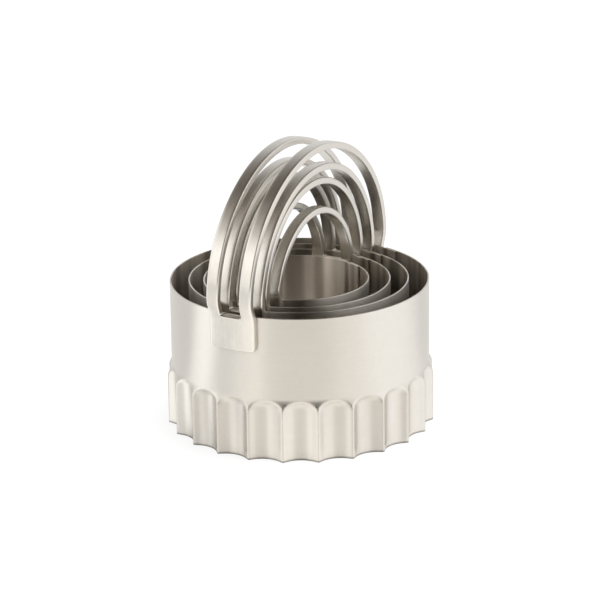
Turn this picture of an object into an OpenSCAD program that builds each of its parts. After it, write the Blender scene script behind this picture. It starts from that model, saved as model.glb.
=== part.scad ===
// Nested set of four round biscuit cutters with a rippled cutting edge.
// Every cutter is a rolled sheet ring with a lap seam and a slotted strap handle.
// Millimetres, +Z up, origin on the table under the centre of the nest.
// The arches of the handles run along X.

/* [Rings] */
// Height of every ring from the cutting edge to the rim
ring_h = 45.2; // [40:0.1:60]
// Thickness of the ring sheet
sheet_t = 0.5; // [0.4:0.05:0.8]
// Outer radius of the plain wall of the smallest ring
smallest_r = 22; // [18:0.1:30]
// Step in radius from the smallest ring to the third ring
third_step = 6.8; // [6.4:0.1:12]
// Step in radius from the third ring to the second ring
second_step = 5.1; // [5:0.1:12]
// Step in radius from the second ring to the largest ring
largest_step = 6; // [5.4:0.1:12]

/* [Ripple] */
// Number of flutes round the largest ring
largest_flutes = 24; // [20:1:28]
// Number of flutes round the second ring
second_flutes = 20; // [17:1:24]
// Number of flutes round the third ring
third_flutes = 17; // [14:1:20]
// Number of flutes round the smallest ring
smallest_flutes = 13; // [11:1:16]
// How far the ridges stand out from the plain wall
ridge_out = 1.4; // [0.8:0.1:1.8]
// How far the grooves are pressed in from the plain wall
groove_in = 1; // [0.6:0.1:1.2]
// Width left on top of every ridge
ridge_w = 0.7; // [0.4:0.1:1.2]
// Height where the grooves start to round off and the ridges to run out
ripple_z = 15.3; // [12:0.1:24]
// Height over which the ridges run out into the plain wall
ridge_run = 4.2; // [1.5:0.1:5]
// Angle by which the flutes of the largest ring are turned from the arch of its handle
largest_flute_turn = -0.9; // [-2:0.1:2]

/* [Lap seam] */
// Length of the overlap of the rolled sheet
lap_len = 4.8; // [3:0.1:8]
// Length of the ramp at the joggled side of the overlap
lap_ramp = 3; // [2:0.1:6]
// Angle of the seam of the largest ring
largest_seam = -21.5; // [-30:0.5:-20]
// Angle of the seam of the second ring
second_seam = -22; // [-34:0.5:-22]
// Angle of the seam of the third ring
third_seam = -24; // [-34:0.5:-24]
// Angle of the seam of the smallest ring
smallest_seam = -33; // [-44:0.5:-33]

/* [Handles] */
// Thickness of the strap handles
strap_t = 2.1; // [1.4:0.1:2.4]
// Width of the straps of the two larger cutters
wide_strap_w = 15.2; // [13:0.1:18]
// Width of the slot in the two wider straps
wide_slot_w = 7.2; // [5:0.1:9]
// Width of the straps of the two smaller cutters
narrow_strap_w = 13.6; // [12:0.1:16]
// Width of the slot in the two narrower straps
narrow_slot_w = 6.2; // [4:0.1:8]
// Rounding of the outer edges of the strap bands
edge_r = 0.8; // [0.4:0.1:1.1]
// Rounding of the bottom corners of the feet
foot_corner_r = 1.2; // [0.5:0.1:3]
// Height of the foot below the rim of the ring
foot_drop = 10.6; // [8:0.1:16]
// Depth of the bottom of the slot below the rim of the ring
slot_drop = 0.2; // [-3:0.1:4]
// Height over which the curved foot runs into the flat strap
foot_blend = 6; // [4:0.1:9]
// How much higher the arch of the largest handle is than half of its span
largest_arch_up = 0.8; // [0:0.1:6]
// How much higher the arch of the second handle is than half of its span
second_arch_up = 0.4; // [0:0.1:6]
// How much higher the arch of the third handle is than half of its span
third_arch_up = 1.1; // [0:0.1:6]
// How much higher the arch of the smallest handle is than half of its span
smallest_arch_up = -1.4; // [-1.5:0.1:6]
// How far the arch of the largest handle bulges out over its feet
largest_bulge = 1.3; // [0.5:0.1:2]
// How far the shoulder arcs of the largest handle are centred from the middle
largest_shoulder = 7.5; // [4:0.1:10]
// How much larger the radius of its crown arc is than half of its span
largest_crown = 1.8; // [1:0.1:4]

/* [Rest positions] */
// Shift of the second cutter along X inside the nest
second_dx = -0.1; // [-0.5:0.1:0.5]
// Shift of the second cutter along Y inside the nest
second_dy = 0.2; // [-0.5:0.1:0.5]
// Shift of the third cutter along X inside the nest
third_dx = -0.7; // [-0.7:0.1:0.5]
// Shift of the third cutter along Y inside the nest
third_dy = 0.5; // [-0.5:0.1:0.5]
// Shift of the smallest cutter along X inside the nest
smallest_dx = -0.4; // [-0.5:0.1:0.5]
// Shift of the smallest cutter along Y inside the nest
smallest_dy = 0.4; // [-0.5:0.1:0.5]

/* [Hidden] */
// Outer radius of the plain wall of the third ring
third_r = smallest_r + third_step;
// Outer radius of the plain wall of the second ring
second_r = third_r + second_step;
// Outer radius of the plain wall of the largest ring
largest_r = second_r + largest_step;
// Drop of the inner flare line that keeps the sheet evenly thick
flare_fit = tan(atan(ridge_out / ridge_run) / 2);
// Height of the lower edge of the feet
foot_z = ring_h - foot_drop;
// Height of the bottom of the slots
slot_z = ring_h - slot_drop;
// Room for cutting shapes beyond the solids
spare = 4;
// Colour of the rings
ring_colour = [0.78, 0.76, 0.73];
// Colour of the handles
strap_colour = [0.84, 0.82, 0.79];

$fn = 96;

// Half angle of a groove at the ridges
function groove_half(r, flutes) = 180 / flutes - asin(ridge_w / 2 / (r + ridge_out));

// Distance of the groove axis from the ring axis
function groove_axis(r, flutes) = (pow(r + ridge_out, 2) - pow(r - groove_in, 2))
    / 2 / ((r + ridge_out) * cos(groove_half(r, flutes)) - r + groove_in);

// Radius of a groove
function groove_r(r, flutes) = groove_axis(r, flutes) - r + groove_in;

// Point at a radius and an angle
function polar(r, a) = [r * cos(a), r * sin(a)];

// Angle of an arc length on a radius
function arc_angle(len, r) = len / r * 180 / PI;

// Rippled section of the outer face, inset by a share of the sheet
module ripple_section(r, flutes, turn, inset) {
    difference() {
        circle(r = r + ridge_out - inset);
        for (i = [0 : flutes - 1])
            rotate(i * 360 / flutes + turn)
                translate([groove_axis(r, flutes), 0])
                    circle(r = groove_r(r, flutes) + inset);
    }
}

// Upper part of the wall with the ends of ridges and grooves, inset the same way
module upper_block(r, flutes, turn, inset, above) {
    difference() {
        rotate_extrude()
            polygon([
                [0, ripple_z - above],
                [r + ridge_out - inset, ripple_z - above],
                [r + ridge_out - inset, ripple_z - inset * flare_fit],
                [r - inset, ripple_z + ridge_run - inset * flare_fit],
                [r - inset, ring_h + above],
                [0, ring_h + above],
            ]);
        for (i = [0 : flutes - 1])
            rotate([0, 0, i * 360 / flutes + turn])
                translate([groove_axis(r, flutes), 0, ripple_z])
                    sphere(r = groove_r(r, flutes) + inset);
    }
}

// Sector over the overlap, with a slanted side for the joggle
module lap_sector(r, seam) {
    turn = seam + arc_angle(lap_len, r);
    stop = turn + arc_angle(lap_ramp, r);
    polygon([
        [0, 0],
        polar(r + spare, seam),
        polar(r + spare, stop),
        polar(r - sheet_t, stop),
        polar(r - 2 * sheet_t, turn),
    ]);
}

// Rolled sheet ring with a rippled lower edge and a lap seam
module ring(r, flutes, seam, turn = 0) {
    linear_extrude(height = ripple_z)
        difference() {
            ripple_section(r, flutes, turn, 0);
            difference() {
                ripple_section(r, flutes, turn, sheet_t);
                lap_sector(r, seam);
            }
            ripple_section(r, flutes, turn, 2 * sheet_t);
        }
    difference() {
        upper_block(r, flutes, turn, 0, 0);
        difference() {
            upper_block(r, flutes, turn, sheet_t, spare);
            linear_extrude(height = ring_h + spare)
                lap_sector(r, seam);
        }
        upper_block(r, flutes, turn, 2 * sheet_t, spare);
    }
}

// Solid of revolution that turns the flat strap into a curved foot
module foot_flare(r, bulge) {
    rotate_extrude()
        polygon([
            [0, 0],
            [r, 0],
            [r, slot_z - foot_blend / 3],
            [r + strap_t / 2 + bulge, slot_z + foot_blend],
            [2 * r, slot_z + foot_blend],
            [2 * r, ring_h + 2 * r],
            [0, ring_h + 2 * r],
        ]);
}

// Section from the axis of an arc to its face, rounded at the corners of that face
module strip_section(reach, strip_w, round_r) {
    difference() {
        translate([0, -strip_w / 2])
            square([reach, strip_w]);
        if (round_r > 0)
            for (side = [-1, 1])
                difference() {
                    translate([reach - round_r, side * strip_w / 2 - (side > 0 ? round_r : 0)])
                        square(round_r);
                    translate([reach - round_r, side * (strip_w / 2 - round_r)])
                        circle(r = round_r, $fn = 32);
                }
    }
}

// Upright disc with that section, whole or as its upper half
module disc(x, z, reach, turn, strip_w, round_r) {
    translate([x, 0, z])
        rotate([90, 0, 0])
            rotate_extrude(angle = turn)
                strip_section(reach, strip_w, round_r);
}

// Upright slab across a strap
module slab(strip_w, points) {
    translate([0, strip_w / 2, 0])
        rotate([90, 0, 0])
            linear_extrude(height = strip_w)
                polygon(points);
}

// All that lies under one face of a strap: a crown arc, two shoulder arcs and the legs
module under_arch(reach, rise, bulge, shoulder, crown, bottom_z, strip_w, round_r) {
    span = reach + bulge;
    crown_r = span + crown;
    side_r = span - shoulder;
    crown_z = ring_h + rise - crown_r;
    side_z = crown_z + sqrt(pow(crown_r - side_r, 2) - pow(shoulder, 2));
    if (shoulder > 0) {
        // The crown arc ends on the lines through the centres of both arcs
        top_z = crown_z + 2 * crown_r;
        top_x = 2 * crown_r * shoulder / (side_z - crown_z);
        intersection() {
            disc(0, crown_z, crown_r, 360, strip_w, round_r);
            slab(2 * strip_w, [[0, crown_z], [top_x, top_z], [-top_x, top_z]]);
        }
        for (side = [-1, 1])
            disc(side * shoulder, side_z, side_r, 180, strip_w, round_r);
    } else {
        disc(0, crown_z, crown_r, 180, strip_w, round_r);
    }
    // The legs reach into the arch with a roof that stays clear of its rounded edges
    roof_x = 2 * edge_r - span;
    slab(strip_w, concat(
        [[-reach, bottom_z]],
        bulge > 0 ? [[-reach, slot_z]] : [],
        [[-span, side_z], [roof_x, side_z], [0, side_z + span / 2], [-roof_x, side_z], [span, side_z]],
        bulge > 0 ? [[reach, slot_z]] : [],
        [[reach, bottom_z]]
    ));
}

// Face of both feet below the arch, with rounded bottom corners
module foot_face(strap_w) {
    translate([0, foot_z + foot_corner_r])
        square([strap_w, slot_z - foot_z - foot_corner_r]);
    translate([foot_corner_r, foot_z])
        square([strap_w - 2 * foot_corner_r, foot_corner_r]);
    for (x = [foot_corner_r, strap_w - foot_corner_r])
        translate([x, foot_z + foot_corner_r])
            circle(r = foot_corner_r);
}

// Slotted strap bent to an arch, with curved feet that fit the ring
module handle(r, strap_w, slot_w, arch_up, bulge = 0, shoulder = 0, crown = 0) {
    outer_r = r + strap_t;
    band_w = (strap_w - slot_w) / 2;
    leg_z = foot_z + foot_corner_r;
    difference() {
        intersection() {
            foot_flare(outer_r, bulge);
            union() {
                for (side = [-1, 1])
                    translate([0, side * (slot_w + band_w) / 2, 0])
                        under_arch(outer_r, outer_r + arch_up, bulge, shoulder, crown,
                            leg_z, band_w, edge_r);
                translate([-outer_r, -strap_w / 2, 0])
                    rotate([90, 0, 90])
                        linear_extrude(height = 2 * outer_r)
                            foot_face(strap_w);
            }
        }
        intersection() {
            foot_flare(r, bulge);
            under_arch(r, r + arch_up, bulge, shoulder, crown, 0, 2 * strap_w, 0);
        }
    }
}

module largest_ring() {
    color(ring_colour)
        ring(largest_r, largest_flutes, largest_seam, largest_flute_turn);
}

module largest_handle() {
    color(strap_colour)
        handle(largest_r, wide_strap_w, wide_slot_w, largest_arch_up,
            largest_bulge, largest_shoulder, largest_crown);
}

module second_ring() {
    color(ring_colour)
        translate([second_dx, second_dy, 0])
            ring(second_r, second_flutes, second_seam);
}

module second_handle() {
    color(strap_colour)
        translate([second_dx, second_dy, 0])
            handle(second_r, wide_strap_w, wide_slot_w, second_arch_up);
}

module third_ring() {
    color(ring_colour)
        translate([third_dx, third_dy, 0])
            ring(third_r, third_flutes, third_seam);
}

module third_handle() {
    color(strap_colour)
        translate([third_dx, third_dy, 0])
            handle(third_r, narrow_strap_w, narrow_slot_w, third_arch_up);
}

module smallest_ring() {
    color(ring_colour)
        translate([smallest_dx, smallest_dy, 0])
            ring(smallest_r, smallest_flutes, smallest_seam);
}

module smallest_handle() {
    color(strap_colour)
        translate([smallest_dx, smallest_dy, 0])
            handle(smallest_r, narrow_strap_w, narrow_slot_w, smallest_arch_up);
}

largest_ring();
largest_handle();
second_ring();
second_handle();
third_ring();
third_handle();
smallest_ring();
smallest_handle();
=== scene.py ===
import math

import bpy
import numpy as np
from mathutils import Matrix, Vector


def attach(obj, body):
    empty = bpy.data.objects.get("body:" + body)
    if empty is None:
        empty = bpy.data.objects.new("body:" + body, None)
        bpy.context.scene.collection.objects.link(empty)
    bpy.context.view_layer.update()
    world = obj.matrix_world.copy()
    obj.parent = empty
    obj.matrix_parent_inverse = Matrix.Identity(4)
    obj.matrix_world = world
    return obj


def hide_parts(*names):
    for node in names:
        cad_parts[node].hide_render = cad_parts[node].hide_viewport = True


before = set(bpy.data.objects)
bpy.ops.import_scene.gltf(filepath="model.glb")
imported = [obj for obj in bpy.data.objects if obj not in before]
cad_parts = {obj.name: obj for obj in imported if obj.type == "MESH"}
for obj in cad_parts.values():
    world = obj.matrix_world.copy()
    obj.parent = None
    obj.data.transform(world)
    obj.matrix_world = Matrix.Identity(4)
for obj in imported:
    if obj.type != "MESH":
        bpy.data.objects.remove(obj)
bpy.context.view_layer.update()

MM = 0.001

# The rings' sheet, ripple and lap seam, in millimetres as in the part's source
RING_H = 45.2
SHEET = 0.5
SHEET_EDGE = 0.14
RIDGE_OUT = 1.4
GROOVE_IN = 1.0
RIDGE_W = 0.7
RIPPLE_Z = 16.3
GROOVE_TOP = 2.4
GROOVE_CORNER = 2.6
RIDGE_FALL = (15.4, 19.6)
CREST_BLEND = 0.9
CREST_RISE = 0.1
TOP_BLEND = 0.8
LAP_LEN = 4.8
LAP_RAMP = 3.0
LAP_GAP = 0.03
LEVEL_EDGE = 1  # this near the rim and the lower edge, the sheet is cut level
RING_EDGE_SHADE = (0.3, 0.7)  # the painted contact shadow along the lower edge fades out between these heights

# Where the sheet is sampled: heights, distance of the rows beside an edge, columns
SKIRT_ROWS = [0.8, 4, 8, 12, 13.6]
RIPPLE_ROWS = list(np.arange(14.4, 20.5, 0.3))
WALL_ROWS = [21.2, 22.4, 25, 29, 34, 39, 43, RING_H - 0.6]
EDGE_ROW = 0.1
EDGE_COLUMN = 0.12
LEAST_COLUMN = 0.06
LEAST_TURN = 0.003
FLUTE_COLUMNS = 20
FLUTE_CROWDING = 0.45
RAMP_COLUMNS = 8

# The straps
STRAP_T = 2.1
OUTER_EDGE = 0.45
INNER_EDGE = 0.35
FOOT_DROP = 10.6
SLOT_DROP = 0.2
FOOT_CORNER = 1.2
SLOT_CORNER = 0.6
SLOT_FADE = 1.4  # over this length the slot's rounded lines turn square again
FOOT_BLEND = (-2.0, 6.0)  # heights over the slot's foot where the strap goes from round to flat
STRAP_EDGE_SHADE = (0.2, 0.7)  # the painted shade along the edges fades out here, in shares of OUTER_EDGE

# Where the straps are sampled
PATH_STEP = 0.25
BEND_POINTS = 23
EDGE_STEPS = 4
BAND_STEP = 0.7
SLOT_STEP = 0.8
BODY_STEP = 1.0
SLOT_END_ROWS = [0.3, 0.65, 1.2]
UNDERSIDE_U = 40  # keeps the underside's map apart from the upper side's

# r is a ring's outer radius, seam and flute_turn are in degrees, strap and slot are widths, and up
# lifts the arch over a half circle. The largest arch bulges over its feet to two side arcs, and
# its crown is wider than they are.
CUTTERS = {
    "largest": dict(r=39.9, flutes=24, seam=-21.5, at=(0.0, 0.0), strap=15.2, slot=7.2, up=0.8,
                    bulge=1.3, shoulder=7.5, crown=1.8, flute_turn=-0.9),
    "second": dict(r=33.9, flutes=20, seam=-22.0, at=(-0.1, 0.2), strap=15.2, slot=7.2, up=0.4),
    "third": dict(r=28.8, flutes=17, seam=-24.0, at=(-0.7, 0.5), strap=13.6, slot=6.2, up=1.1),
    "smallest": dict(r=22.0, flutes=13, seam=-33.0, at=(-0.4, 0.4), strap=13.6, slot=6.2,
                     up=-1.4),
}


# ---------------------------------------------------------------- meshes


def link_object(name, data):
    ob = bpy.data.objects.new(name, data)
    bpy.context.scene.collection.objects.link(ob)
    return ob


def mesh_object(name, co, faces, uv, shaded_edge, inside):
    """A smooth mesh object from points in millimetres, a map point per vertex in millimetres and
    two shares per vertex: of the edge with painted shade, and of the inner face with painted shade
    and reflection bands."""
    me = bpy.data.meshes.new(name)
    me.from_pydata((np.asarray(co) * MM).tolist(), [], faces)
    layer = me.uv_layers.new(name="grain")
    index = np.zeros(len(me.loops), dtype=np.int32)
    me.loops.foreach_get("vertex_index", index)
    layer.data.foreach_set("uv", (np.asarray(uv)[index] * MM).astype(np.float32).ravel())
    me.polygons.foreach_set("use_smooth", [True] * len(me.polygons))
    for key, values in (("shaded_edge", shaded_edge), ("inside", inside)):
        share = me.attributes.new(key, "FLOAT", "POINT")
        share.data.foreach_set("value", np.asarray(values, np.float32))
    me.validate()
    me.update()
    return link_object(name, me)


def soft_min(a, b, k):
    """The smaller of a and b, with the change from one to the other rounded over k."""
    h = np.clip(0.5 + 0.5 * (b - a) / k, 0.0, 1.0)
    return b * (1 - h) + a * h - k * h * (1 - h)


def smooth(x):
    x = np.clip(x, 0.0, 1.0)
    return x * x * (3 - 2 * x)


def rise(x, start, stop):
    """Smooth step from 0 at start to 1 at stop."""
    return smooth((x - start) / (stop - start))


def wall_radius(theta, z, r, flutes):
    """Radius of the outer face of a ring, ridges and grooves included."""
    half = math.pi / flutes - math.asin(RIDGE_W / 2 / (r + RIDGE_OUT))
    tip, low = r + RIDGE_OUT, r - GROOVE_IN
    axis = (tip ** 2 - low ** 2) / 2 / (tip * math.cos(half) - low)
    groove = axis - low
    pitch = 2 * math.pi / flutes
    phi = (theta + pitch / 2) % pitch - pitch / 2
    # The end of a groove is a flattened sphere that leaves the plain wall at GROOVE_TOP
    share = 1 - ((axis - r) / groove) ** 2
    over = np.clip(z - RIPPLE_Z, 0, None)
    left = groove ** 2 * (1 - share * (over / GROOVE_TOP) ** GROOVE_CORNER)
    room = left - (axis * np.sin(phi)) ** 2
    wall = np.where(room > 0, axis * np.cos(phi) - np.sqrt(np.clip(room, 0, None)), axis)
    fall = rise(z, *RIDGE_FALL)
    base = r + RIDGE_OUT * (1 - fall)
    blend = CREST_BLEND + (TOP_BLEND - CREST_BLEND) * fall
    return soft_min(base + CREST_RISE * blend * (1 - fall), wall, blend)


def wall_point(theta, z, r, flutes):
    rad = wall_radius(theta, z, r, flutes)
    return np.stack([rad * np.cos(theta), rad * np.sin(theta), z], -1)


def wall_normal(theta, z, r, flutes):
    e = 1e-3
    du = wall_point(theta + e / r, z, r, flutes) - wall_point(theta - e / r, z, r, flutes)
    dv = wall_point(theta, z + e, r, flutes) - wall_point(theta, z - e, r, flutes)
    n = np.cross(du, dv)
    return n / np.linalg.norm(n, axis=-1, keepdims=True)


def sheet_profile():
    """Closed loop round the sheet: height, and depth from the outer face."""
    edge = SHEET_EDGE
    turn = [math.radians(a) for a in (0, 22.5, 45, 67.5, 90)]
    outward = [(edge * math.sin(a), edge - edge * math.cos(a)) for a in turn]
    inward = [(edge * math.sin(a), SHEET - edge + edge * math.cos(a)) for a in turn]
    heights = [edge + EDGE_ROW] + SKIRT_ROWS + RIPPLE_ROWS + WALL_ROWS + [RING_H - edge - EDGE_ROW]
    loop = [(edge - up, depth) for up, depth in reversed(outward)]
    loop += [(z, 0.0) for z in heights]
    loop += [(RING_H - edge + up, depth) for up, depth in outward]
    loop += [(RING_H - edge + up, depth) for up, depth in reversed(inward)]
    loop += [(z, SHEET) for z in reversed(heights)]
    loop += [(edge - up, depth) for up, depth in inward]
    return np.array(loop)


def flute_angles(flutes, start, stop):
    """Column angles from start to stop, closer together at the ridges."""
    pitch = 2 * math.pi / flutes
    steps = np.linspace(-1, 1, FLUTE_COLUMNS + 1)
    crowded = FLUTE_CROWDING * np.sin(steps * math.pi / 2)
    within = pitch / 2 * (crowded + (1 - FLUTE_CROWDING) * steps)
    angles = np.concatenate([i * pitch + within[:-1] for i in range(-flutes, 2 * flutes)])
    return angles[(angles > start + LEAST_TURN) & (angles < stop - LEAST_TURN)]


def ring_faces(cols, rows):
    """Quads round the closed profile from column to column, and a cap on each end of the sheet."""
    ids = np.arange(cols * rows).reshape(cols, rows).tolist()
    faces = []
    for here, ahead in zip(ids, ids[1:]):
        for j in range(rows):
            k = (j + 1) % rows
            faces.append((here[j], ahead[j], ahead[k], here[k]))
    for col, flip in ((ids[0], False), (ids[-1], True)):
        for j in range(rows // 2 - 1):
            cap = (col[j], col[j + 1], col[rows - 2 - j], col[rows - 1 - j])
            faces.append(cap[::-1] if flip else cap)
    return faces


def make_ring(name, spec):
    r, flutes = spec["r"], spec["flutes"]
    flute_turn = math.radians(spec.get("flute_turn", 0))
    # The sheet begins inside the lap, ramps out to the plain wall and ends over its own beginning
    seam = math.radians(spec["seam"]) - flute_turn
    turn = seam + LAP_LEN / r
    stop = turn + LAP_RAMP / r
    end = turn + 2 * math.pi
    extra = [seam, seam + EDGE_COLUMN / r, turn, end - EDGE_COLUMN / r, end]
    extra += list(np.linspace(turn, stop, RAMP_COLUMNS)[1:])
    angles = np.unique(np.concatenate([flute_angles(flutes, seam, end), extra]))
    keep = np.concatenate([[True], np.diff(angles) > LEAST_COLUMN / r])
    keep[-1] = True
    loop = sheet_profile()
    th, z = np.meshgrid(angles[keep], loop[:, 0], indexing="ij")
    depth = np.broadcast_to(loop[:, 1], th.shape)
    inset = (SHEET + LAP_GAP) * (1 - rise(th, turn, stop))
    co = wall_point(th, z, r, flutes) - wall_normal(th, z, r, flutes) * (inset + depth)[..., None]
    level = (z < LEVEL_EDGE) | (z > RING_H - LEVEL_EDGE)
    co[..., 2] = np.where(level, z, co[..., 2])
    c, s = math.cos(flute_turn), math.sin(flute_turn)
    x, y = co[..., 0] * c - co[..., 1] * s, co[..., 0] * s + co[..., 1] * c
    co[..., 0] = x + spec["at"][0]
    co[..., 1] = y + spec["at"][1]
    uv = np.stack([z + depth, th * r], -1)
    # Painted contact shadow along the lower edge
    shaded_edge = 1 - rise(z, *RING_EDGE_SHADE)
    # The inner face takes painted shade and painted reflection bands
    inside = np.where(depth > SHEET / 2, 1.0, 0.0)
    return mesh_object(name, co.reshape(-1, 3), ring_faces(*th.shape), uv.reshape(-1, 2),
                       shaded_edge.ravel(), inside.ravel())


def edge_lines(radius):
    """Distances from an edge at which a rounding of that radius is sampled."""
    turn = [math.radians(90 * i / EDGE_STEPS) for i in range(EDGE_STEPS + 1)]
    return [radius * (1 - math.cos(a)) for a in turn]


def fill(a, b, step):
    """Points strictly between a and b, about a step apart."""
    n = max(1, int(round((b - a) / step)))
    return [a + (b - a) * i / n for i in range(1, n)]


def corner_turn(a, b):
    """Turns the squares max(a, b) = m of a corner block into quarter circles of radius m."""
    m = np.maximum(a, b)
    safe = np.where(m > 1e-9, m, 1.0)
    phi = np.where(a >= b, math.pi / 4 * b / safe, math.pi / 2 - math.pi / 4 * a / safe)
    return m * np.cos(phi), m * np.sin(phi)


def turn_corners(s, w, total, corner_s, corner_w, share_at):
    """Bends the lines beyond a corner, at both ends and on both sides of the strap, to quarter
    circles. share_at(a, b) is the share of the bend at the distances a and b beyond the corner."""
    for far in (False, True):
        along = total - s if far else s
        for sign in (-1, 1):
            a, b = corner_s - along, sign * w - corner_w
            share = share_at(a, b)
            here = share > 0
            x, y = corner_turn(np.where(here, a, 0), np.where(here, b, 0))
            new_s = corner_s - (a + (x - a) * share)
            s = np.where(here, total - new_s if far else new_s, s)
            w = np.where(here, sign * (corner_w + b + (y - b) * share), w)
    return s, w


def foot_share(a, b):
    return np.where((a > 0) & (b > 0), 1.0, 0.0)


def slot_share(a, b):
    """The slot's rounded ends, fading out into the square lines."""
    m = np.maximum(a, b)
    block = (a >= 0) & (b >= 0) & (m >= SLOT_CORNER - 1e-6)
    start = SLOT_CORNER + OUTER_EDGE
    return np.where(block, 1 - rise(m, start, start + SLOT_FADE), 0.0)


def box_distance(p, q, half_p, half_q, radius):
    """Distance from the outline of a rounded rectangle, below 0 inside it."""
    u, v = np.abs(p) - half_p + radius, np.abs(q) - half_q + radius
    outside = np.hypot(np.clip(u, 0, None), np.clip(v, 0, None))
    return outside + np.minimum(np.maximum(u, v), 0) - radius


def arc(x, z, radius, start, stop):
    """Points on an arc from the angle start to the angle stop, without the first."""
    turn = np.linspace(start, stop, max(2, int(abs(stop - start) * radius / PATH_STEP)))[1:]
    return np.stack([x + radius * np.cos(turn), z + radius * np.sin(turn)], 1)


def line(a, b):
    """Points on a line from a to b, without the first."""
    n = max(2, int(math.dist(a, b) / PATH_STEP))
    return np.linspace(a, b, n + 1)[1:]


def strap_path(spec, foot_z, slot_z):
    """Middle line of the strap from foot to foot: length, x, z and the outward direction."""
    reach = spec["r"] + STRAP_T / 2
    bulge, shoulder = spec.get("bulge", 0.0), spec.get("shoulder", 0.0)
    span = reach + bulge
    crown_r = span + spec.get("crown", 0.0)
    side_r = span - shoulder
    crown_z = RING_H + reach + spec["up"] - crown_r
    side_z = crown_z + math.sqrt((crown_r - side_r) ** 2 - shoulder ** 2)
    meet = math.atan2(side_z - crown_z, shoulder) if shoulder else 0.0
    points = [np.array([(reach, foot_z)])]
    if bulge:
        points += [line((reach, foot_z), (reach, slot_z)), line((reach, slot_z), (span, side_z))]
        points.append(arc(shoulder, side_z, side_r, 0, meet))
    else:
        points.append(line((reach, foot_z), (span, side_z)))
    points.append(arc(0, crown_z, crown_r, meet, math.pi / 2))
    half = np.concatenate(points)
    path = np.concatenate([half * (-1, 1), half[-2::-1]])
    if bulge:
        # The bends over the feet are soft
        soft = np.hanning(BEND_POINTS)[1:-1]
        soft = soft / soft.sum()
        pad = len(soft) // 2
        wide = np.pad(path, ((pad, pad), (0, 0)), mode="reflect", reflect_type="odd")
        path = np.stack([np.convolve(wide[:, k], soft, mode="valid") for k in (0, 1)], 1)
    run = np.concatenate([[0], np.cumsum(np.hypot(*np.diff(path, axis=0).T))])
    ahead = np.gradient(path, run, axis=0)
    ahead /= np.linalg.norm(ahead, axis=1, keepdims=True)
    return run, path[:, 0], path[:, 1], -ahead[:, 1], ahead[:, 0]


def strap_lines(total, slot_s, outer, inner):
    """Lines along the strap from foot to foot, and across it from edge to edge, close together at
    the edges."""
    edge = edge_lines(OUTER_EDGE)
    foot = edge + [FOOT_CORNER]
    side = [inner + d for d in edge]
    side += fill(inner + OUTER_EDGE, outer - FOOT_CORNER, BAND_STEP)
    side += [outer - d for d in foot]
    across = sorted([-w for w in side] + fill(-inner, inner, SLOT_STEP) + side)
    first = foot + fill(FOOT_CORNER, slot_s - OUTER_EDGE, SLOT_STEP)
    first += [slot_s - d for d in edge] + [slot_s + d for d in SLOT_END_ROWS]
    body = fill(slot_s + SLOT_END_ROWS[-1], total / 2, BODY_STEP)
    along = sorted(first + body + [total / 2] + [total - s for s in first + body])
    return np.array(along), np.array(across)


def slab_faces(solid):
    """Faces of a slab over the solid cells of a grid: on top, below and where the cells end. The
    points below follow those on top."""
    rows, cols = solid.shape
    ids = np.arange((rows + 1) * (cols + 1)).reshape(rows + 1, cols + 1)
    low = ids.size
    ids = ids.tolist()
    padded = np.pad(solid, 1)
    faces = []
    for i, j in np.argwhere(solid).tolist():
        a, b, c, d = ids[i][j], ids[i][j + 1], ids[i + 1][j + 1], ids[i + 1][j]
        faces += [(a, b, c, d), (a + low, d + low, c + low, b + low)]
        for near_i, near_j, p, q in ((i, j + 1, b, a), (i + 2, j + 1, d, c),
                                     (i + 1, j, a, d), (i + 1, j + 2, c, b)):
            if not padded[near_i, near_j]:
                faces.append((p, q, q + low, p + low))
    return faces


def make_handle(name, spec):
    width, outer, inner = spec["strap"], spec["strap"] / 2, spec["slot"] / 2
    foot_z, slot_z = RING_H - FOOT_DROP, RING_H - SLOT_DROP
    run, path_x, path_z, out_x, out_z = strap_path(spec, foot_z, slot_z)
    total, slot_s = run[-1], slot_z - foot_z
    middle = total / 2
    along, across = strap_lines(total, slot_s, outer, inner)
    s, w = np.meshgrid(along, across, indexing="ij")
    s, w = turn_corners(s, w, total, FOOT_CORNER, outer - FOOT_CORNER, foot_share)
    s, w = turn_corners(s, w, total, slot_s + SLOT_CORNER, inner - SLOT_CORNER, slot_share)

    to_rim = -box_distance(s - middle, w, middle, outer, FOOT_CORNER)
    to_slot = box_distance(s - middle, w, middle - slot_s, inner, SLOT_CORNER)
    away = np.clip(np.minimum(to_rim, to_slot), 0, None)

    def height(radius):
        """Height over the strap's middle, with the edges rounded by that radius."""
        d = np.clip(radius - away, 0, radius)
        return STRAP_T / 2 - radius + np.sqrt(np.clip(radius ** 2 - d ** 2, 0, None))

    def place(n):
        """Points at the height n over the path. The feet follow the round wall."""
        x = np.interp(s, run, path_x) + n * np.interp(s, run, out_x)
        z = np.interp(s, run, path_z) + n * np.interp(s, run, out_z)
        rad = np.maximum(np.abs(x), width)
        lift = rad - np.sqrt(rad ** 2 - w ** 2)
        x = x - np.sign(x) * lift * (1 - rise(z - slot_z, *FOOT_BLEND))
        return np.stack([x + spec["at"][0], w + spec["at"][1], z], -1).reshape(-1, 3)

    co = np.concatenate([place(height(OUTER_EDGE)), place(-height(INNER_EDGE))])
    uv = np.concatenate([np.stack([w + u, s], -1).reshape(-1, 2) for u in (0, UNDERSIDE_U)])
    # Painted shade along the strap's edges, very slight
    shaded_edge = np.tile((1 - rise(away / OUTER_EDGE, *STRAP_EDGE_SHADE)).ravel(), 2)
    cell_s, cell_w = (along[:-1] + along[1:]) / 2, (across[:-1] + across[1:]) / 2
    hole = np.outer(np.abs(cell_s - middle) < middle - slot_s, np.abs(cell_w) < inner)
    faces = np.array(slab_faces(~hole))
    # The points in the middle of the slot carry no face
    used, faces = np.unique(faces, return_inverse=True)
    faces = [tuple(face) for face in faces.reshape(-1, 4).tolist()]
    return mesh_object(name, co[used], faces, uv[used], shaded_edge[used], np.zeros(len(used)))
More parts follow.
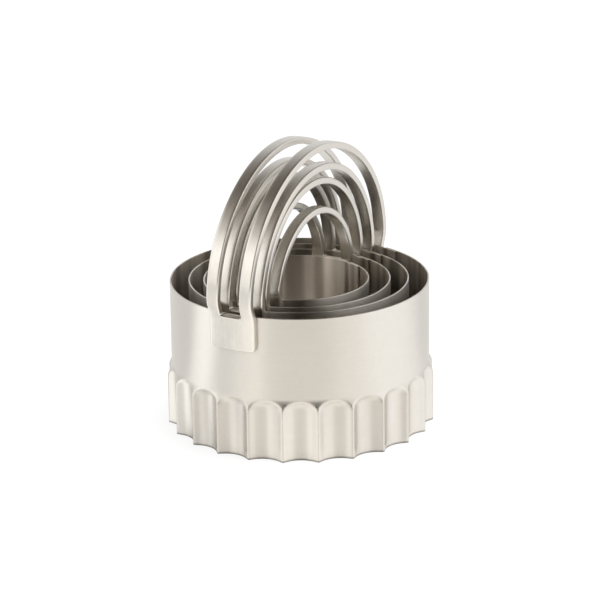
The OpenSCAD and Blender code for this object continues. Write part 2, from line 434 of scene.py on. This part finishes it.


# ---------------------------------------------------------------- materials

# Tint, roughness, stretch of the highlights, strength of the lines and clouds, seed, brightness of
# the painted shade on the edges (on the rings a painted contact shadow) and strength of the
# colour's streaks
RING_STEEL = dict(tint=(0.66, 0.63, 0.58), rough=0.37, stretch=0.93, grain=0.05, mottle=0.05,
                  seed=3.0, edge_shade_tone=0.45, streak=1.0)
STRAP_STEEL = dict(tint=(0.67, 0.64, 0.59), rough=0.25, stretch=0.5, grain=0.08, mottle=0.05,
                   seed=11.0, edge_shade_tone=0.98, streak=1.6)
# Noises: scale per metre, across and along the grain for lines, then detail and roughness
FINE_LINES = ((9000, 160, 1), 3.0, 0.6)
BROAD_LINES = ((1400, 60, 1), 4.0, 0.55)
CLOUDS = (420.0, 3.0, 0.6)
PATCHES = (60.0, 2.0, 0.5)
PATCH_SHARE = 0.6
LINE_SHADE = 0.5
CLOUD_SHADE = 0.4
STREAKS = ((0.25, -0.07), (0.75, 0.05))  # where in the shade, and how much lighter than the tint
SHADED_EDGE_ROUGH = 0.08
BUMP_STRENGTH = 0.1
BUMP_DEPTH = 0.000006
# Painted shade and painted reflection bands inside the rings, upright: noise, its shift, and the
# tint by its value
SHADE_BANDS = ((0, 150, 1), 1.2, 0.5)
SHADE_BAND_SHIFT = 0.6
SHADE_BAND_TINTS = [(0.38, (0.55, 0.51, 0.47)), (0.60, (1.10, 1.05, 0.99))]


class Nodes:
    """Short calls for building a node tree."""

    def __init__(self, tree):
        self.tree = tree
        tree.nodes.clear()

    def add(self, kind, inputs=None, **props):
        node = self.tree.nodes.new(kind)
        for key, value in props.items():
            setattr(node, key, value)
        for key, value in (inputs or {}).items():
            if isinstance(value, bpy.types.NodeSocket):
                self.tree.links.new(value, node.inputs[key])
            else:
                node.inputs[key].default_value = value
        return node

    def math(self, op, a, b=0.0, c=0.0):
        return self.add("ShaderNodeMath", {0: a, 1: b, 2: c}, operation=op).outputs[0]

    def swing(self, value, gain, base):
        """base, and gain times what value is above or below one half."""
        return self.math("MULTIPLY_ADD", self.math("SUBTRACT", value, 0.5), gain, base)

    def vector(self, op, a, b=(0, 0, 0)):
        return self.add("ShaderNodeVectorMath", {0: a, 1: b}, operation=op)

    def step(self, value, start, stop):
        """Smooth step from 0 at start to 1 at stop."""
        return self.add("ShaderNodeMapRange", {"Value": value, "From Min": start, "From Max": stop},
                        interpolation_type="SMOOTHSTEP").outputs[0]

    def noise(self, place, scale, detail, rough):
        return self.add("ShaderNodeTexNoise", {
            "Vector": place, "Scale": scale, "Detail": detail, "Roughness": rough,
        }).outputs["Fac"]

    def lines(self, place, shift, scale, detail, rough):
        """Noise that is stretched by a scale per axis."""
        place = self.add("ShaderNodeMapping", {"Vector": place, "Location": shift, "Scale": scale})
        return self.noise(place.outputs[0], 1.0, detail, rough)

    def ramp(self, value, stops, mode):
        node = self.add("ShaderNodeValToRGB", {"Fac": value})
        ramp = node.color_ramp
        ramp.interpolation = mode
        while len(ramp.elements) < len(stops):
            ramp.elements.new(0.5)
        for element, (at, colour) in zip(ramp.elements, stops):
            element.position = at
            element.color = (*colour, 1)
        return node.outputs["Color"]

    def mix(self, share, a, b, blend="MIX"):
        return self.add("ShaderNodeMix", {0: share, 6: a, 7: b},
                        data_type="RGBA", blend_type=blend).outputs[2]

    def mix_shader(self, share, a, b):
        return self.add("ShaderNodeMixShader", {0: share, 1: a.outputs[0], 2: b.outputs[0]})


def steel(name, tint, rough, stretch, grain, mottle, seed, edge_shade_tone, streak):
    """Satin stainless steel. The grain runs along V of the map, and highlights stretch along U."""
    mat = bpy.data.materials.new(name)
    mat.use_nodes = True
    n = Nodes(mat.node_tree)
    uv = n.add("ShaderNodeUVMap", uv_map="grain").outputs["UV"]
    place = n.add("ShaderNodeTexCoord").outputs["Object"]
    fine = n.lines(uv, (seed, seed, 0), *FINE_LINES)
    broad = n.lines(uv, (seed, -seed, 0), *BROAD_LINES)
    lines = n.math("ADD", n.math("MULTIPLY", fine, 0.5), n.math("MULTIPLY", broad, 0.5))
    cloud = n.noise(place, *CLOUDS)
    patch = n.noise(place, *PATCHES)
    # Roughness: lines of the grain, clouds of the satin finish and wide worn patches
    value = n.swing(lines, grain, rough)
    value = n.swing(cloud, mottle, value)
    value = n.swing(patch, mottle * PATCH_SHARE, value)
    # Colour: a trace of the same lines and clouds
    shade = n.swing(cloud, CLOUD_SHADE, n.swing(lines, LINE_SHADE, 0.5))
    tones = [(at, tuple(c * (1 + lighter * streak) for c in tint)) for at, lighter in STREAKS]
    colour = n.ramp(shade, tones, "LINEAR")
    # The inner face gets painted shade, browner and darker, with painted reflection bands lighter
    # and darker round the ring
    inside = n.add("ShaderNodeAttribute", attribute_name="inside").outputs["Fac"]
    marks = n.ramp(n.lines(uv, (0, seed + SHADE_BAND_SHIFT, 0), *SHADE_BANDS), SHADE_BAND_TINTS, "EASE")
    colour = n.mix(inside, colour, n.mix(1.0, colour, marks, "MULTIPLY"))
    # The edges get painted shade, on the rings a painted contact shadow along the lower edge, and
    # are rougher
    shaded_edge = n.add("ShaderNodeAttribute", attribute_name="shaded_edge").outputs["Fac"]
    colour = n.mix(shaded_edge, colour, (*(c * edge_shade_tone for c in tint), 1))
    value = n.math("MULTIPLY_ADD", shaded_edge, SHADED_EDGE_ROUGH, value)
    bump = n.add("ShaderNodeBump", {
        "Strength": BUMP_STRENGTH, "Distance": BUMP_DEPTH, "Height": lines,
    })
    tangent = n.add("ShaderNodeTangent", direction_type="UV_MAP", uv_map="grain")
    shader = n.add("ShaderNodeBsdfPrincipled", {
        "Base Color": colour, "Metallic": 1.0, "Roughness": value, "Anisotropic": stretch,
        "Tangent": tangent.outputs[0], "Normal": bump.outputs[0],
    })
    n.add("ShaderNodeOutputMaterial", {"Surface": shader.outputs[0]})
    return mat


# ---------------------------------------------------------------- stage

VIEW_AZ = math.radians(-60.5)
VIEW_EL = math.radians(18.784)
VIEW_FAR = 978.35
VIEW_ROLL = math.radians(-0.733)
VIEW_AT = (0.043, -0.077, 37.713)
LENS = 190.39
SENSOR = 36

# The light tent round the object. Its front is where the camera stands. A softbox is a turn from
# the front in degrees, counterclockwise from above, a width and a gain.
FRONT = math.radians(-90 - 60.5)
TENT_FRONT = (0.93, 0.90, 0.86, 1)
TENT_SIDE = (1.0, 1.0, 1.0, 1)
TENT_BASE = 0.90
WARM_WIDTH = 75
SKY_BOXES = ((82, 62, 0.50), (-92, 18, 0.75), (-52, 24, 0.50))
FLOOR_BOXES = ((86, 60, 0.47), (-96, 20, 0.70), (-46, 20, 0.26))
# Towards the camera the tent is dark above the table, and the table bright: a width and a gain
SKY_FRONT = (42, -0.86)
FLOOR_FRONT = (54, 0.75)
# The table near the object shows a turn smaller than the tent far away
FLOOR_SQUEEZE = 0.85
# How much of the floor is glow and not lit paint, for the camera and for what the metal mirrors
CAMERA_GLOW = 0.87
METAL_GLOW = 0.85
FLOOR_PAINT = (0.92, 0.92, 0.92, 1)
GLOW_FROM = (0.038, 0.043)  # under the cutters, nearer than this, the metal sees no glow
FLOOR_HALF = 6.0
FLOOR_CELLS = 24
WHITE = (1, 1, 1, 1)

# Colour of the tent by height, from level to overhead, towards the front and behind
OVERHEAD = [(0.87, (0.17, 0.15, 0.135)), (1.0, (0.13, 0.112, 0.098))]
FRONT_HEIGHTS = [
    (0.0, (1.0, 1.0, 1.0)), (0.25, (1.15, 1.15, 1.15)), (0.42, (1.30, 1.30, 1.30)),
    (0.56, (1.15, 1.15, 1.15)), (0.68, (0.82, 0.80, 0.78)), (0.79, (0.31, 0.285, 0.26)),
] + OVERHEAD
BACK_HEIGHTS = [
    (0.0, (1.0, 1.0, 1.0)), (0.28, (0.95, 0.95, 0.95)), (0.44, (0.88, 0.88, 0.88)),
    (0.59, (0.72, 0.72, 0.72)), (0.72, (0.44, 0.42, 0.40)), (0.81, (0.26, 0.24, 0.22)),
] + OVERHEAD
BEHIND = (-0.2, 0.5)  # the front's colours turn to those behind between these cosines

LAMP_AT = (0.1, -0.2, 1.6)
LAMP_AIM = (0, 0, 0.03)
LAMP_SIZE = 0.7
LAMP_POWER = 36.0


def tent_colour(n, place, softboxes, front, squeeze):
    """Colour and brightness of the light tent, by the level direction of a vector from its middle:
    warm in front, with a wide softbox on the right and two narrow ones on the left."""
    level = n.vector("MULTIPLY", place, (1, 1, 0)).outputs[0]
    level = n.vector("NORMALIZE", level).outputs[0]

    def lobe(turn, width):
        """1 towards that turn from the front, falling to 0 at the width."""
        at = FRONT + math.radians(turn * squeeze)
        aim = n.vector("DOT_PRODUCT", level, (math.cos(at), math.sin(at), 0)).outputs["Value"]
        return n.step(aim, math.cos(math.radians(width * squeeze)), 1.0)

    total = TENT_BASE
    for turn, width, gain in (*softboxes, (0, *front)):
        total = n.math("MULTIPLY_ADD", lobe(turn, width), gain, total)
    return n.mix(lobe(0, WARM_WIDTH), TENT_SIDE, TENT_FRONT), total


def floor_material():
    """White to the camera, and the tent's colour to what the metal mirrors. The rest is lit paint,
    which takes the object's shadow."""
    mat = bpy.data.materials.new("floor_white")
    mat.use_nodes = True
    n = Nodes(mat.node_tree)
    path = n.add("ShaderNodeLightPath").outputs
    camera = path["Is Camera Ray"]
    seen = n.math("MAXIMUM", camera, path["Is Glossy Ray"])
    seen = n.math("MAXIMUM", seen, path["Is Transmission Ray"])
    place = n.add("ShaderNodeTexCoord").outputs["Object"]
    colour, strength = tent_colour(n, place, FLOOR_BOXES, FLOOR_FRONT, FLOOR_SQUEEZE)
    paint = n.add("ShaderNodeBsdfDiffuse", {"Color": FLOOR_PAINT})
    white = n.add("ShaderNodeEmission", {"Color": WHITE, "Strength": 1.0})
    tent = n.add("ShaderNodeEmission", {"Color": colour, "Strength": strength})
    glow = n.mix_shader(camera, tent, white)
    away = n.vector("LENGTH", place).outputs["Value"]
    metal = n.math("MULTIPLY", n.math("MULTIPLY", seen, METAL_GLOW), n.step(away, *GLOW_FROM))
    metal = n.math("MULTIPLY", metal, n.math("SUBTRACT", 1.0, camera))
    share = n.math("MULTIPLY_ADD", camera, CAMERA_GLOW, metal)
    surface = n.mix_shader(share, paint, glow)
    n.add("ShaderNodeOutputMaterial", {"Surface": surface.outputs[0]})
    return mat


def make_camera():
    data = bpy.data.cameras.new("camera")
    data.lens = LENS
    data.sensor_width = SENSOR
    data.clip_start = 0.01
    cam = link_object("camera", data)
    level = math.cos(VIEW_EL)
    back = Vector((math.sin(VIEW_AZ) * level, -math.cos(VIEW_AZ) * level, math.sin(VIEW_EL)))
    turn = (-back).to_track_quat("-Z", "Y").to_matrix().to_4x4()
    turn = turn @ Matrix.Rotation(VIEW_ROLL, 4, "Z")
    cam.matrix_world = Matrix.Translation((Vector(VIEW_AT) + back * VIEW_FAR) * MM) @ turn
    bpy.context.scene.camera = cam


def make_floor():
    marks = np.linspace(-FLOOR_HALF, FLOOR_HALF, FLOOR_CELLS + 1)
    x, y = np.meshgrid(marks, marks, indexing="ij")
    co = np.stack([x, y, np.zeros_like(x)], -1).reshape(-1, 3)
    faces = []
    for i in range(FLOOR_CELLS):
        for j in range(FLOOR_CELLS):
            a = i * (FLOOR_CELLS + 1) + j
            faces.append((a, a + FLOOR_CELLS + 1, a + FLOOR_CELLS + 2, a + 1))
    me = bpy.data.meshes.new("floor")
    me.from_pydata(co.tolist(), [], faces)
    me.update()
    ob = link_object("floor", me)
    ob.data.materials.append(floor_material())


def make_world():
    """The tent above the floor: bright up to about 30 degrees, dark overhead, dimmer behind. The
    camera sees white."""
    world = bpy.data.worlds.new("tent")
    bpy.context.scene.world = world
    world.use_nodes = True
    n = Nodes(world.node_tree)
    direction = n.add("ShaderNodeTexCoord").outputs["Generated"]
    colour, strength = tent_colour(n, direction, SKY_BOXES, SKY_FRONT, 1.0)
    above = n.math("MAXIMUM", n.add("ShaderNodeSeparateXYZ", {0: direction}).outputs[2], 0.0)
    away = (-math.cos(FRONT), -math.sin(FRONT), 0)
    behind = n.step(n.vector("DOT_PRODUCT", direction, away).outputs["Value"], *BEHIND)
    front = n.ramp(above, FRONT_HEIGHTS, "LINEAR")
    back = n.ramp(above, BACK_HEIGHTS, "LINEAR")
    tent = n.mix(1.0, colour, n.mix(behind, front, back), "MULTIPLY")
    path = n.add("ShaderNodeLightPath")
    lit = n.add("ShaderNodeBackground", {"Color": tent, "Strength": strength})
    white = n.add("ShaderNodeBackground", {"Color": WHITE, "Strength": 1.0})
    sky = n.mix_shader(path.outputs["Is Camera Ray"], lit, white)
    n.add("ShaderNodeOutputWorld", {"Surface": sky.outputs[0]})


def make_lamp():
    """A soft lamp overhead, which the metal does not mirror."""
    data = bpy.data.lights.new("top_light", "AREA")
    data.shape = "DISK"
    data.size = LAMP_SIZE
    data.energy = LAMP_POWER
    lamp = link_object("top_light", data)
    lamp.location = LAMP_AT
    lamp.rotation_mode = "QUATERNION"
    lamp.rotation_quaternion = (Vector(LAMP_AIM) - Vector(LAMP_AT)).to_track_quat("-Z", "Y")
    lamp.visible_glossy = False


make_camera()
ring_steel = steel("ring_steel", **RING_STEEL)
strap_steel = steel("handle_steel", **STRAP_STEEL)
for size, spec in CUTTERS.items():
    body = f"{size}_cutter"
    for kind, make, mat in (("ring", make_ring, ring_steel), ("handle", make_handle, strap_steel)):
        piece = make(f"{size}_{kind}_satin", spec)
        piece.data.materials.append(mat)
        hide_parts(f"{size}_{kind}")
        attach(piece, body)
make_floor()
make_world()
make_lamp()

scene = bpy.context.scene
scene.view_settings.view_transform = "Standard"
